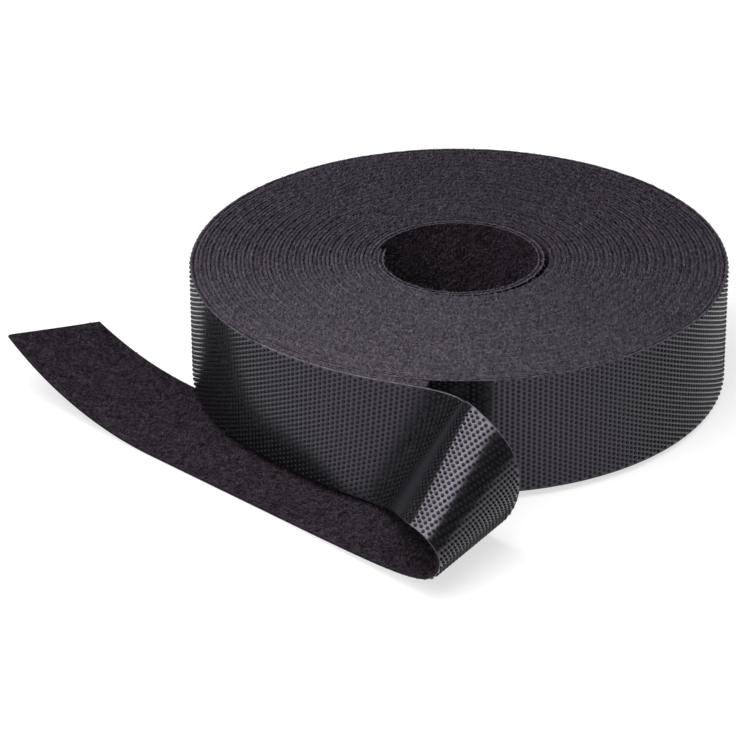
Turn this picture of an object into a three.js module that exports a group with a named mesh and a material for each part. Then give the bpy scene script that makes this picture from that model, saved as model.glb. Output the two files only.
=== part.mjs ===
// Roll of back-to-back hook and loop tape. A moulded hook film and a knitted loop fabric are bonded into
// one tape, wound without a core, hook side out. The outer end leaves the roll, curls over with the loop
// side up, runs in under the roll's rim along the floor and rises again at its cut end.
// Units are millimetres, +Z is up and the floor is z = 0.
import * as THREE from "three";

// Tape
const TAPE_WIDTH = 25;
const HOOK_THICKNESS = 0.5;
const LOOP_THICKNESS = 0.75;

// Winding, counter-clockwise from the bore outwards when seen from above
const BORE_DIAMETER = 32;
const WHOLE_TURNS = 22;
const TURN_GAP = 0.48;
const FIRST_TURN_SLACK = 0.9;
const INNER_END_ANGLE = 166;
const OUTER_END_ANGLE = 226;
const STEPS_PER_TURN = 24;

// Tail lying flat on the floor, partly under the roll's rim, which leans on it
const TAIL_HEADING = 137.8;
const TAIL_UNDERLAP = 12.5;
const TAIL_REST_GAP = 0.5;
const TAIL_START = -5;

// Free end, which rises from the floor about lines that run slantwise across the tape.
// Places along it are lengths on the near edge, from the point of that edge nearest the roll's axis.
const RISE_START = 21;
const RISE_RADIUS = 69;
const RISE_SLANT = 27.5;
const FREE_END_SPLIT = 24;
const TIP_SPLIT = 44;
const NEAR_CORNER = 66;
const FAR_CORNER = 64;
const SPLIT_GAP = 0.4;

// Curl between the roll and the tail. Each station pulls the tape's lower edge towards a point given by its
// angle round the roll, how far it stands off the roll's outside and its height, and the upper edge towards
// a point that lies "across" from it along X, Y and Z. All but the angles are in tape widths.
const CURL_STATIONS = [
  { angle: 249.5, standoff: 0.14, height: 0.112, across: [0.76, -0.02, 0.94] },
  { angle: 258.5, standoff: 0.2, height: 0.036, across: [0.56, -0.13, 1.02] },
  { angle: 263, standoff: 1.28, height: 0.648, across: [0.49, 0.84, 0.52] },
  { angle: 266.5, standoff: 1.5, height: 0.64, across: [0.38, 0.84, 0.59] },
  { angle: 268.5, standoff: 1.54, height: 0.464, across: [0.64, 0.7, 0.41] },
  { angle: 268, standoff: 1.48, height: 0.264, across: [0.54, 0.89, -0.09] },
  { angle: 265, standoff: 1.3, height: 0.084, across: [0.41, 0.99, -0.07] },
];
const ROLL_LEAD = 17;
const TAIL_LEAD = 19;
const CURL_STEPS = 40;
const TAIL_STEPS = 4;
const FREE_END_STEPS = 6;
const TIP_STEPS = 6;

const UP = new THREE.Vector3(0, 0, 1);
const radians = THREE.MathUtils.degToRad;

// Sizes that follow from the ones above
const tapeThickness = HOOK_THICKNESS + LOOP_THICKNESS;
const turnPitch = tapeThickness + TURN_GAP;
const woundTurns = WHOLE_TURNS + (OUTER_END_ANGLE - INNER_END_ANGLE) / 360;
const innerBondRadius = BORE_DIAMETER / 2 + LOOP_THICKNESS;
const outerBondRadius = innerBondRadius + turnPitch * woundTurns;
const rollRadius = outerBondRadius + HOOK_THICKNESS;

// The tail's own directions: forward along it, and across it from the near edge to the edge under the roll
const tailForward = new THREE.Vector3(Math.cos(radians(TAIL_HEADING)), Math.sin(radians(TAIL_HEADING)), 0);
const tailAcross = new THREE.Vector3().crossVectors(tailForward, UP);
const farEdgeDistance = rollRadius - TAIL_UNDERLAP;

// The roll leans just enough for its lower end to clear the tail while its far rim stays on the floor
const leanAngle = Math.atan((tapeThickness + TAIL_REST_GAP) / (rollRadius + farEdgeDistance));
const leanAxis = new THREE.Vector3().crossVectors(UP, tailAcross);
const rollPlacement = new THREE.Matrix4()
  .makeRotationAxis(leanAxis, leanAngle)
  .setPosition(0, 0, rollRadius * Math.sin(leanAngle));

// A section is one straight line across the tape at the bond between film and fabric, with the direction in
// which the hook side faces at each of its two ends.
function section(lower, upper, lowerFacing, upperFacing) {
  return { lower, upper, lowerFacing, upperFacing };
}

// The first turn is slack: it stands in from the second most of the way round
function bondRadius(turns) {
  const slack = turns < 1 ? FIRST_TURN_SLACK * Math.sin(Math.PI * turns) ** 2 : 0;
  return innerBondRadius + turnPitch * turns - slack;
}

// Winding sections, from the inner end to where the tape leaves the roll
function windingSections() {
  const steps = Math.round(woundTurns * STEPS_PER_TURN);
  const sections = [];
  for (let step = 0; step <= steps; step += 1) {
    const turns = (woundTurns * step) / steps;
    const angle = radians(INNER_END_ANGLE) + turns * 2 * Math.PI;
    const outward = new THREE.Vector3(Math.cos(angle), Math.sin(angle), 0);
    const lower = outward.clone().multiplyScalar(bondRadius(turns));
    const upper = lower.clone().setZ(TAPE_WIDTH);
    const facing = outward.transformDirection(rollPlacement);
    sections.push(
      section(lower.applyMatrix4(rollPlacement), upper.applyMatrix4(rollPlacement), facing, facing)
    );
  }
  return sections;
}

// Point of a clamped uniform cubic spline, by repeated blending of the poles that reach it
function splinePoint(poles, t) {
  const degree = 3;
  const spans = poles.length - degree;
  const knot = (index) => THREE.MathUtils.clamp(index - degree, 0, spans);
  const place = t * spans;
  const span = Math.min(Math.floor(place), spans - 1) + degree;
  const blend = poles.slice(span - degree, span + 1).map((pole) => pole.clone());
  for (let level = 1; level <= degree; level += 1) {
    for (let j = degree; j >= level; j -= 1) {
      const low = knot(span - degree + j);
      const high = knot(span + 1 + j - level);
      blend[j].lerpVectors(blend[j - 1], blend[j], (place - low) / (high - low));
    }
  }
  return blend[degree];
}

// Point on the flat tail and its rising end: "along" the near edge and "over" from it towards the roll
function tailPoint(along, over) {
  const slant = radians(RISE_SLANT);
  const point = tailAcross
    .clone()
    .multiplyScalar(over - farEdgeDistance - TAPE_WIDTH)
    .addScaledVector(tailForward, along)
    .setZ(HOOK_THICKNESS);
  const past = Math.max(0, (along - RISE_START) * Math.cos(slant) - over * Math.sin(slant));
  const turn = past / RISE_RADIUS;
  const bendDirection = tailForward
    .clone()
    .multiplyScalar(Math.cos(slant))
    .addScaledVector(tailAcross, -Math.sin(slant));
  return point
    .addScaledVector(bendDirection, RISE_RADIUS * Math.sin(turn) - past)
    .addScaledVector(UP, RISE_RADIUS * (1 - Math.cos(turn)));
}

// The two edges of the curl: out of the roll along its tangent, through the stations and on to the tail
function curlEdges(rollEnd) {
  const rollAxis = UP.clone().transformDirection(rollPlacement);
  const leave = new THREE.Vector3().crossVectors(rollAxis, rollEnd.lowerFacing);
  const lowerPoles = [rollEnd.lower, rollEnd.lower.clone().addScaledVector(leave, ROLL_LEAD)];
  const upperPoles = [rollEnd.upper, rollEnd.upper.clone().addScaledVector(leave, ROLL_LEAD)];
  for (const { angle, standoff, height, across } of CURL_STATIONS) {
    const lower = new THREE.Vector3(Math.cos(radians(angle)), Math.sin(radians(angle)), 0)
      .multiplyScalar(rollRadius + standoff * TAPE_WIDTH)
      .setZ(height * TAPE_WIDTH);
    lowerPoles.push(lower);
    upperPoles.push(lower.clone().addScaledVector(new THREE.Vector3(...across), TAPE_WIDTH));
  }
  lowerPoles.push(tailPoint(TAIL_START - TAIL_LEAD, 0), tailPoint(TAIL_START, 0));
  upperPoles.push(tailPoint(TAIL_START - TAIL_LEAD, TAPE_WIDTH), tailPoint(TAIL_START, TAPE_WIDTH));
  return { lowerPoles, upperPoles };
}

function curlSections(rollEnd) {
  const { lowerPoles, upperPoles } = curlEdges(rollEnd);
  const small = 1e-4;
  const sections = [rollEnd];
  for (let step = 1; step <= CURL_STEPS; step += 1) {
    const t = step / CURL_STEPS;
    const before = Math.max(0, t - small);
    const after = Math.min(1, t + small);
    const lower = splinePoint(lowerPoles, t);
    const upper = splinePoint(upperPoles, t);
    const across = upper.clone().sub(lower);
    const facing = (poles) =>
      splinePoint(poles, after).sub(splinePoint(poles, before)).cross(across).normalize();
    sections.push(section(lower, upper, facing(lowerPoles), facing(upperPoles)));
  }
  return sections;
}

// Section of the tail between a place on its near edge and a place on its far edge
function tailSection(nearAlong, farAlong) {
  const small = 1e-3;
  const facing = (along, over) => {
    const forward = tailPoint(along + small, over).sub(tailPoint(along - small, over));
    const across = tailPoint(along, over + small).sub(tailPoint(along, over - small));
    return forward.cross(across).normalize();
  };
  return section(
    tailPoint(nearAlong, 0),
    tailPoint(farAlong, TAPE_WIDTH),
    facing(nearAlong, 0),
    facing(farAlong, TAPE_WIDTH)
  );
}

// Sections evenly spread between two cuts of the tail, each cut given on the near and on the far edge
function tailSections(startCut, endCut, steps) {
  return Array.from({ length: steps + 1 }, (_, step) => {
    const share = step / steps;
    return tailSection(
      THREE.MathUtils.lerp(startCut.near, endCut.near, share),
      THREE.MathUtils.lerp(startCut.far, endCut.far, share)
    );
  });
}

function slantCut(near) {
  return { near, far: near + TAPE_WIDTH * Math.tan(radians(RISE_SLANT)) };
}

// Corner of the tape at a section, at a depth from the bond: positive is towards the hooks
function corner(end, facing, depth) {
  return end.clone().addScaledVector(facing, depth);
}

// Closed strip between two depths: four corners at each section, joined all round and capped at both ends
function stripGeometry(sections, innerDepth, outerDepth) {
  const positions = [];
  const indices = [];
  for (const { lower, upper, lowerFacing, upperFacing } of sections) {
    for (const point of [
      corner(lower, lowerFacing, innerDepth),
      corner(upper, upperFacing, innerDepth),
      corner(upper, upperFacing, outerDepth),
      corner(lower, lowerFacing, outerDepth),
    ]) {
      positions.push(point.x, point.y, point.z);
    }
  }
  const sides = 4;
  const last = (sections.length - 1) * sides;
  for (let start = 0; start < last; start += sides) {
    for (let side = 0; side < sides; side += 1) {
      const a = start + side;
      const b = start + ((side + 1) % sides);
      const c = b + sides;
      const d = a + sides;
      // The bond is cut along the same diagonal in the film as in the fabric
      if (side === 2) {
        indices.push(a, b, d, b, c, d);
      } else {
        indices.push(a, b, c, a, c, d);
      }
    }
  }
  indices.push(0, 3, 2, 0, 2, 1);
  indices.push(last, last + 1, last + 2, last, last + 2, last + 3);
  const geometry = new THREE.BufferGeometry();
  geometry.setAttribute("position", new THREE.Float32BufferAttribute(positions, 3));
  geometry.setIndex(indices);
  const faceted = geometry.toNonIndexed();
  faceted.computeVertexNormals();
  return faceted;
}

const hookMaterial = new THREE.MeshStandardMaterial({ name: "hook_film", color: 0x17171a, roughness: 0.35 });
const loopMaterial = new THREE.MeshStandardMaterial({ name: "loop_fabric", color: 0x35302d, roughness: 0.9 });

// One stretch of tape is a hook film and a loop fabric on either side of the bond
function tapeStretch(name, sections) {
  const hook = new THREE.Mesh(stripGeometry(sections, 0, HOOK_THICKNESS), hookMaterial);
  const loop = new THREE.Mesh(stripGeometry(sections, -LOOP_THICKNESS, 0), loopMaterial);
  hook.name = `${name}_hook_tape`;
  loop.name = `${name}_loop_tape`;
  return [hook, loop];
}

// Least air between neighbouring turns, from the hook side of one to the chords of the loop side of the next
function leastTurnGap(sections) {
  const hookSide = sections.map((s) => corner(s.lower, s.lowerFacing, HOOK_THICKNESS));
  const loopSide = sections.map((s) => corner(s.lower, s.lowerFacing, -LOOP_THICKNESS));
  const nearest = new THREE.Vector3();
  let least = Infinity;
  for (let i = 1; i + STEPS_PER_TURN < sections.length; i += 1) {
    const next = i + STEPS_PER_TURN;
    const chord = new THREE.Line3(loopSide[next - 1], loopSide[next]);
    const middle = hookSide[i].clone().add(hookSide[i - 1]).multiplyScalar(0.5);
    for (const point of [hookSide[i], middle]) {
      least = Math.min(least, chord.closestPointToPoint(point, true, nearest).distanceTo(point));
    }
  }
  return least;
}

// Least air between the free tape's loop side and the roll: beside the turn below it, or under its lower end
function leastFreeGap(sections) {
  const toRoll = rollPlacement.clone().invert();
  const shares = [0, 0.25, 0.5, 0.75, 1];
  let least = Infinity;
  for (const s of sections) {
    const lower = corner(s.lower, s.lowerFacing, -LOOP_THICKNESS).applyMatrix4(toRoll);
    const upper = corner(s.upper, s.upperFacing, -LOOP_THICKNESS).applyMatrix4(toRoll);
    for (const share of shares) {
      const point = lower.clone().lerp(upper, share);
      const reach = Math.hypot(point.x, point.y);
      const bearing = THREE.MathUtils.radToDeg(Math.atan2(point.y, point.x));
      const angle = THREE.MathUtils.euclideanModulo(bearing, 360);
      const turnBelow = rollRadius - turnPitch * (1 - (angle - OUTER_END_ANGLE) / 360);
      const beside = reach - turnBelow;
      const under = -point.z;
      least = Math.min(least, Math.max(beside, under));
    }
  }
  return least;
}

// Least air between the lower edge, where the tape leaves the roll, and the loop side of the tail below it
function leastCrossingGap(leaving, below) {
  const samples = 10;
  const shares = Array.from({ length: samples + 1 }, (_, i) => i / samples);
  const bed = below.flatMap((s) => {
    const lower = corner(s.lower, s.lowerFacing, -LOOP_THICKNESS);
    const upper = corner(s.upper, s.upperFacing, -LOOP_THICKNESS);
    return shares.map((share) => lower.clone().lerp(upper, share));
  });
  const depths = [-LOOP_THICKNESS, 0, HOOK_THICKNESS];
  const edge = leaving.flatMap((s) => depths.map((depth) => corner(s.lower, s.lowerFacing, depth)));
  return Math.min(...edge.map((point) => Math.min(...bed.map((other) => other.distanceTo(point)))));
}

// Assembly, set with the middle of its footprint on the origin
const winding = windingSections();
const curl = curlSections(winding[winding.length - 1]);
const tailStart = { near: TAIL_START, far: TAIL_START };
const tail = tailSections(tailStart, slantCut(FREE_END_SPLIT), TAIL_STEPS);
const freeEnd = tailSections(slantCut(FREE_END_SPLIT + SPLIT_GAP), slantCut(TIP_SPLIT), FREE_END_STEPS);
const tip = tailSections(slantCut(TIP_SPLIT + SPLIT_GAP), { near: NEAR_CORNER, far: FAR_CORNER }, TIP_STEPS);
tail[0] = curl[curl.length - 1];

const tape = new THREE.Group();
tape.name = "tape";
tape.add(
  ...tapeStretch("wound", winding),
  ...tapeStretch("curl", curl),
  ...tapeStretch("tail", tail),
  ...tapeStretch("free_end", freeEnd),
  ...tapeStretch("tip", tip)
);
const box = new THREE.Box3().setFromObject(tape);
const middle = box.getCenter(new THREE.Vector3());
tape.position.set(-middle.x, -middle.y, -box.min.z);

const part = new THREE.Group();
part.name = "hook_and_loop_tape_roll";
part.add(tape);
part.updateMatrixWorld(true);

// Hinge line on the loop side at a split, in the part's frame
function hingeLine(split) {
  const cut = slantCut(split + SPLIT_GAP / 2);
  const s = tailSection(cut.near, cut.far);
  const from = corner(s.lower, s.lowerFacing, -LOOP_THICKNESS).add(tape.position);
  const to = corner(s.upper, s.upperFacing, -LOOP_THICKNESS).add(tape.position);
  return { from, to };
}

const lay = (point) => point.toArray().map((value) => value.toFixed(3)).join(", ");
const size = box.getSize(new THREE.Vector3());
console.log(`overall ${lay(size)}, roll radius ${rollRadius.toFixed(3)}, axis foot ${lay(tape.position)}`);
console.log(`least gap between turns ${leastTurnGap(winding).toFixed(3)}`);
console.log(`least gap from the free tape to the roll ${leastFreeGap([...curl, ...tail]).toFixed(3)}`);
const half = Math.floor(curl.length / 2);
const crossing = leastCrossingGap(curl.slice(0, half), [...curl.slice(half), ...tail]);
console.log(`least gap where the tape crosses over its tail ${crossing.toFixed(3)}`);
for (const [name, split] of [["free end", FREE_END_SPLIT], ["tip", TIP_SPLIT]]) {
  const { from, to } = hingeLine(split);
  console.log(`${name} hinge from ${lay(from)} to ${lay(to)}`);
}

export default part;
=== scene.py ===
"""Roll of back-to-back hook and loop tape, dressed around its frame.

Every layer is modelled on the flat tape first: x runs along the bond line from the inner end, y over the
width and z out to the tips of the hooks. It is then laid on the route that the tape takes through the
winding, the curl that turns it over, and the tail that runs out from under the roll."""

import math
from collections import namedtuple

import bmesh
import bpy
import numpy as np
from mathutils import Matrix, Quaternion, Vector


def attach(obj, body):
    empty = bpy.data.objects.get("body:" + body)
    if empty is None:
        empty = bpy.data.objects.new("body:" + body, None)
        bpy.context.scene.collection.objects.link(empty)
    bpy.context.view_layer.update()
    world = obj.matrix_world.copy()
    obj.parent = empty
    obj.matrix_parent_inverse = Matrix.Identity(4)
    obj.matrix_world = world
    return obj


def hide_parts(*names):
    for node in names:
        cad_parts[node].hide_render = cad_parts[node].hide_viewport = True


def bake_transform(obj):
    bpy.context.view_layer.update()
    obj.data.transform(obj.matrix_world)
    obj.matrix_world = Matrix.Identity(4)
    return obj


bl_info = {
    "name": "Hook and Loop Tape Roll",
    "version": (1, 0, 0),
    "blender": (4, 5, 0),
    "location": "View3D > Sidebar > Tape Roll",
    "description": "Builds a roll of hook and loop tape with its hooks, pile, knit and studio",
    "category": "Object",
}

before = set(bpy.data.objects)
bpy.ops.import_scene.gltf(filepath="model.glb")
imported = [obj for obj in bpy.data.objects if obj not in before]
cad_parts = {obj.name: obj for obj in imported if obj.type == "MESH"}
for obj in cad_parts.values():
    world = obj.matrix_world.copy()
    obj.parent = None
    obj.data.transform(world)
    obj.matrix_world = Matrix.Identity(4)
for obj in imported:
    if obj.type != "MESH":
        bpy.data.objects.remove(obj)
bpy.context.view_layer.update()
MM = 0.001
UP = np.array((0.0, 0.0, 1.0))

# Tape and winding
TAPE_WIDTH = 25 * MM
HOOK_THICKNESS = 0.5 * MM
LOOP_THICKNESS = 0.75 * MM
BORE_DIAMETER = 32 * MM
WHOLE_TURNS = 22
TURN_GAP = 0.48 * MM
FIRST_TURN_SLACK = 0.9 * MM
INNER_END_ANGLE = 166
OUTER_END_ANGLE = 226
LINES_PER_TURN = 180
AXIS_FOOT = np.array((18.990, 19.341, 0.003)) * MM

# Tail and its rising end
TAIL_HEADING = 137.8
TAIL_UNDERLAP = 12.5 * MM
TAIL_REST_GAP = 0.5 * MM
TAIL_START = -5 * MM
RISE_START = 21 * MM
RISE_RADIUS = 69 * MM
RISE_SLANT = math.radians(27.5)
NEAR_CORNER = 66 * MM
FAR_CORNER = 64 * MM
TAIL_LINES = 240

# Curl: angle round the roll, then in tape widths the standoff, the height and the line across the tape
CURL_STATIONS = (
    (249.5, 0.14, 0.112, (0.76, -0.02, 0.94)),
    (258.5, 0.2, 0.036, (0.56, -0.13, 1.02)),
    (263, 1.28, 0.648, (0.49, 0.84, 0.52)),
    (266.5, 1.5, 0.64, (0.38, 0.84, 0.59)),
    (268.5, 1.54, 0.464, (0.64, 0.7, 0.41)),
    (268, 1.48, 0.264, (0.54, 0.89, -0.09)),
    (265, 1.3, 0.084, (0.41, 0.99, -0.07)),
)
ROLL_LEAD = 17 * MM
TAIL_LEAD = 19 * MM
CURL_LINES = 400
REACH_ROWS = 13
SPLINE_NUDGE = 1e-4
TAIL_NUDGE = 1e-6

# Layers of the flat tape: depths from the bond, and places over the width
FILM_THICKNESS = 0.2 * MM
KNIT_THICKNESS = 0.4 * MM
KNIT_FOOT = 0.3 * MM
KNIT_TOP = TAPE_WIDTH - 0.15 * MM
WOUND_FILM_TOP = TAPE_WIDTH - 0.2 * MM
WOUND_EDGE_OVER = (TAPE_WIDTH - 0.3 * MM, TAPE_WIDTH - 0.08 * MM)
CUT_EDGE_OVER = (TAPE_WIDTH - 0.12 * MM, TAPE_WIDTH + 0.04 * MM)
CUT_EDGE_DEPTHS = (-0.04 * MM, 0.27 * MM)
EDGE_ROUND = 0.05 * MM
EDGE_BAND = EDGE_ROUND * 2
FREE_ROWS = 12
SHARP_ANGLE = math.radians(30)
RIM_ANGLE = 1
TOUCH = MM * MM

# Hooks: where the pattern's two stand, as a share of it, and each ring's shares of the head and the height
HOOK_SIDES = 6
HOOK_SUNK = 0.03 * MM
HOOK_STAGGER = (0.25, 0.75)
HOOK_RINGS = ((1, 0.55), (0.78, 0.86), (0.36, 1))

# Pile: a loop's sides and steps, and how loops stray, as a share of their distance, lean and stretch
LOOP_SIDES = 3
LOOP_STEPS = 3
LOOP_SUNK = 0.05 * MM
ANY_TURN = math.pi / 2
PILE_MARGIN = 0.55 * MM
PILE_STRAY = 0.35
PILE_LEAN = (0.7, 0.7)
PILE_STRETCH = (0.65, 1.2)

# Nap that stands out of the pile along the edges of the wound tape
NAP_STEPS = 2
NAP_HEIGHT = 0.32 * MM
LOWER_NAP_HEIGHT = 0.15 * MM
LOWER_NAP_THINNING = 2
PRESSED_SHARE = 0.4
NAP_RUN_ON = 36 * MM
NAP_DEPTH = -0.815 * MM
NAP_SPREAD = 0.07 * MM
NAP_STRAY = 0.4
NAP_LEAN = (0.6, 0.3)
NAP_TURN = 0.5
NAP_TILT = 0.55
NAP_STRETCH = (0.4, 1.4)
SELVEDGE_DEPTH = 0.05 * MM
FUZZ_DEPTH = -0.3 * MM
FUZZ_SPREAD = 0.75 * MM

# Felt of pressed pile between the turns, which rises and grows where the outer turn leaves the roll
FELT_STEP = 1 * MM
FELT_DEPTHS = (-1.33 * MM, -0.47 * MM)
FELT_MIDDLE = sum(FELT_DEPTHS) / 2
FELT_SLOPE = 0.32
FELT_RUN_ON_WIDTH = 1.5 * MM
FELT_RISE = 0.5 * MM
FELT_GROWTH = 1.4 * MM
FELT_GROWTH_POWER = 4

# Seeds of the chance in the pieces
RUFFLE_SEED = 2
BORE_SEED = 3
NAP_SEED = 5
CURL_SEED = 11
END_SEED = 13

# Where the free tape parts into two pieces, along its near edge
PIECE_SEAM = 34 * MM

# Attribute in which a laid piece keeps its flat places
FLAT_ATTRIBUTE = "flat"

# Studio
FLOOR_SIDES = 96
SOFTBOX_PLACE = (-0.26, 0.18, 0.7)
STRIP_PLACE = (-0.27, 0.135, 0.68)
STRIP_TURN = math.radians(145)
KEY_PLACE = (-0.06, -0.13, 0.16)
KEY_AIM = (0.0, -0.02, 0.02)
FLAG_ENDS = ((-0.125, -0.08), (-0.06, -0.175))
FLAG_HEIGHT = 0.035
CAMERA_PLACE = (26.98 * MM, -643.7 * MM, 356.22 * MM)
CAMERA_AIM = (0.7 * MM, 0, 11 * MM)
CAMERA_ROLL = math.radians(-1.17)

# Measures that follow from the sizes
PITCH = HOOK_THICKNESS + LOOP_THICKNESS + TURN_GAP
TURNS_IN_ALL = WHOLE_TURNS + (OUTER_END_ANGLE - INNER_END_ANGLE) / 360
INNER_BOND = BORE_DIAMETER / 2 + LOOP_THICKNESS
ROLL_RADIUS = INNER_BOND + PITCH * TURNS_IN_ALL + HOOK_THICKNESS
TAIL_FORWARD = np.array((math.cos(math.radians(TAIL_HEADING)), math.sin(math.radians(TAIL_HEADING)), 0))
TAIL_ACROSS = np.cross(TAIL_FORWARD, UP)
FAR_EDGE = ROLL_RADIUS - TAIL_UNDERLAP
LEAN = math.atan((HOOK_THICKNESS + LOOP_THICKNESS + TAIL_REST_GAP) / (ROLL_RADIUS + FAR_EDGE))
LEAN_AXIS = np.cross(UP, TAIL_ACROSS)


# Route of the tape
def unit(rows):
    """Rows scaled to a length of one."""
    return rows / np.linalg.norm(rows, axis=-1, keepdims=True)


def leaned(rows):
    """Directions of the upright roll, turned to how it leans on its own tail."""
    cosine, sine = math.cos(LEAN), math.sin(LEAN)
    along_axis = np.outer(rows @ LEAN_AXIS, LEAN_AXIS)
    return rows * cosine + np.cross(LEAN_AXIS, rows) * sine + along_axis * (1 - cosine)


def winding_lines():
    """Lines across the wound tape: lower and upper end, and the way the hooks face at each."""
    turns = np.linspace(0, TURNS_IN_ALL, round(TURNS_IN_ALL * LINES_PER_TURN) + 1)
    angle = math.radians(INNER_END_ANGLE) + turns * math.tau
    slack = np.where(turns < 1, FIRST_TURN_SLACK * np.sin(math.pi * turns) ** 2, 0)
    outward = np.stack((np.cos(angle), np.sin(angle), 0 * angle), axis=1)
    lower = outward * (INNER_BOND + PITCH * turns - slack)[:, None]
    lift = UP * ROLL_RADIUS * math.sin(LEAN)
    facing = leaned(outward)
    return np.stack((leaned(lower) + lift, leaned(lower + UP * TAPE_WIDTH) + lift, facing, facing), axis=1)


def spline(poles, shares):
    """Points of a cubic B-spline that starts and ends on its first and last pole."""
    spans = len(poles) - 3
    place = shares * spans
    first = np.minimum(place.astype(int), spans - 1)
    corners = [poles[first + step] for step in range(4)]
    for level in range(1, 4):
        for step in range(3, level - 1, -1):
            low = np.clip(first + step - 3, 0, spans)
            high = np.clip(first + step + 1 - level, 0, spans)
            share = ((place - low) / (high - low))[:, None]
            corners[step] = corners[step - 1] + (corners[step] - corners[step - 1]) * share
    return corners[3]


def tail_points(along, over):
    """Points of the tail: flat under the roll, then bent upwards along a slanted line."""
    along = np.asarray(along, float)
    over = np.asarray(over, float)
    place = TAIL_ACROSS * (over - FAR_EDGE - TAPE_WIDTH)[:, None] + TAIL_FORWARD * along[:, None]
    past = (along - RISE_START) * math.cos(RISE_SLANT) - over * math.sin(RISE_SLANT)
    past = np.maximum(0, past)[:, None]
    bend = TAIL_FORWARD * math.cos(RISE_SLANT) - TAIL_ACROSS * math.sin(RISE_SLANT)
    drawn_in = RISE_RADIUS * np.sin(past / RISE_RADIUS) - past
    risen = HOOK_THICKNESS + RISE_RADIUS * (1 - np.cos(past / RISE_RADIUS))
    return place + bend * drawn_in + UP * risen


def curl_lines(last):
    """Lines across the curl, from the last line of the winding to the start of the tail."""
    leave = np.cross(leaned(UP[None])[0], last[2])
    lower = [last[0], last[0] + leave * ROLL_LEAD]
    upper = [last[1], last[1] + leave * ROLL_LEAD]
    for degrees, standoff, height, across in CURL_STATIONS:
        radius = ROLL_RADIUS + standoff * TAPE_WIDTH
        angle = math.radians(degrees)
        lower.append(np.array((radius * math.cos(angle), radius * math.sin(angle), height * TAPE_WIDTH)))
        upper.append(lower[-1] + np.array(across) * TAPE_WIDTH)
    lead_in = (TAIL_START - TAIL_LEAD, TAIL_START)
    lower = np.array(lower + list(tail_points(lead_in, (0, 0))))
    upper = np.array(upper + list(tail_points(lead_in, (TAPE_WIDTH, TAPE_WIDTH))))
    shares = np.linspace(0, 1, CURL_LINES + 1)
    before = np.maximum(0, shares - SPLINE_NUDGE)
    after = np.minimum(1, shares + SPLINE_NUDGE)
    across = spline(upper, shares) - spline(lower, shares)
    facing = [unit(np.cross(spline(edge, after) - spline(edge, before), across)) for edge in (lower, upper)]
    return np.stack((spline(lower, shares), spline(upper, shares), *facing), axis=1)


def tail_lines():
    """Lines across the tail, square to it, from the curl to the near corner of the cut end."""
    along = np.linspace(TAIL_START, NEAR_CORNER, TAIL_LINES + 1)
    edges = (0 * along, 0 * along + TAPE_WIDTH)
    facing = []
    for over in edges:
        onward = tail_points(along + TAIL_NUDGE, over) - tail_points(along - TAIL_NUDGE, over)
        sideways = tail_points(along, over + TAIL_NUDGE) - tail_points(along, over - TAIL_NUDGE)
        facing.append(unit(np.cross(onward, sideways)))
    return np.stack((tail_points(along, edges[0]), tail_points(along, edges[1]), *facing), axis=1)


WOUND = winding_lines()
CURL = curl_lines(WOUND[-1])
TAIL = tail_lines()
LINES = np.concatenate((WOUND, CURL[1:], TAIL[1:]))
LINES[:, :2] += AXIS_FOOT
STEPS = np.linalg.norm(np.diff(LINES[:, :2].mean(axis=1), axis=0), axis=1)
ALONG = np.concatenate(((0,), STEPS.cumsum()))
INNER_TURN_END = ALONG[LINES_PER_TURN]
OUTER_TURN_START = ALONG[len(WOUND) - 1 - LINES_PER_TURN]
WOUND_END = ALONG[len(WOUND) - 1]
TAIL_ZERO = ALONG[len(WOUND) + len(CURL) - 2] - TAIL_START
TAPE_END = ALONG[-1]


def row_reaches():
    """Reach of every line along even rows of the tape, scaled so that the curl fits its middle."""
    shares = np.linspace(0, 1, REACH_ROWS)[:, None, None]
    rows = LINES[None, :, 0] * (1 - shares) + LINES[None, :, 1] * shares
    curl = slice(len(WOUND) - 1, len(WOUND) + len(CURL) - 1)
    steps = np.linalg.norm(np.diff(rows[:, curl], axis=1), axis=2)
    lengths = steps.cumsum(axis=1)
    reaches = np.tile(ALONG, (REACH_ROWS, 1))
    reaches[:, len(WOUND):len(WOUND) + len(CURL) - 1] = (
        WOUND_END + lengths / lengths[:, -1:] * (TAIL_ZERO + TAIL_START - WOUND_END))
    return reaches


REACHES = row_reaches()


def lay(flat):
    """Places points of the flat tape on its route."""
    along, over, depth = flat.T
    row = np.clip(over / TAPE_WIDTH, 0, 1) * (REACH_ROWS - 1)
    first = np.minimum(row.astype(int), REACH_ROWS - 2)
    lines = np.arange(len(LINES))
    found = np.stack([np.interp(along, reaches, lines) for reaches in REACHES])
    points = np.arange(len(flat))
    line = found[first, points] * (first + 1 - row) + found[first + 1, points] * (row - first)
    columns = LINES.reshape(len(LINES), -1).T
    placed = np.stack([np.interp(line, lines, column) for column in columns], axis=1).reshape(-1, 4, 3)
    lower, upper, lower_facing, upper_facing = placed.transpose(1, 0, 2)
    share = (over / TAPE_WIDTH)[:, None]
    facing = unit(lower_facing + (upper_facing - lower_facing) * share)
    return lower + (upper - lower) * share + facing * depth[:, None]


# Cut lines of the flat tape: a point on each and the direction that is cut away
SEAM_POINT = (TAIL_ZERO + PIECE_SEAM, 0, 0)
SEAM_WAY = (math.cos(RISE_SLANT), -math.sin(RISE_SLANT), 0)
BACK_FROM_SEAM = (-SEAM_WAY[0], -SEAM_WAY[1], 0)
SEAM_REACH = TAIL_ZERO + PIECE_SEAM + TAPE_WIDTH * math.tan(RISE_SLANT)
END_POINT = (TAIL_ZERO + NEAR_CORNER, 0, 0)
END_WAY = (TAPE_WIDTH, NEAR_CORNER - FAR_CORNER, 0)

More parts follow.
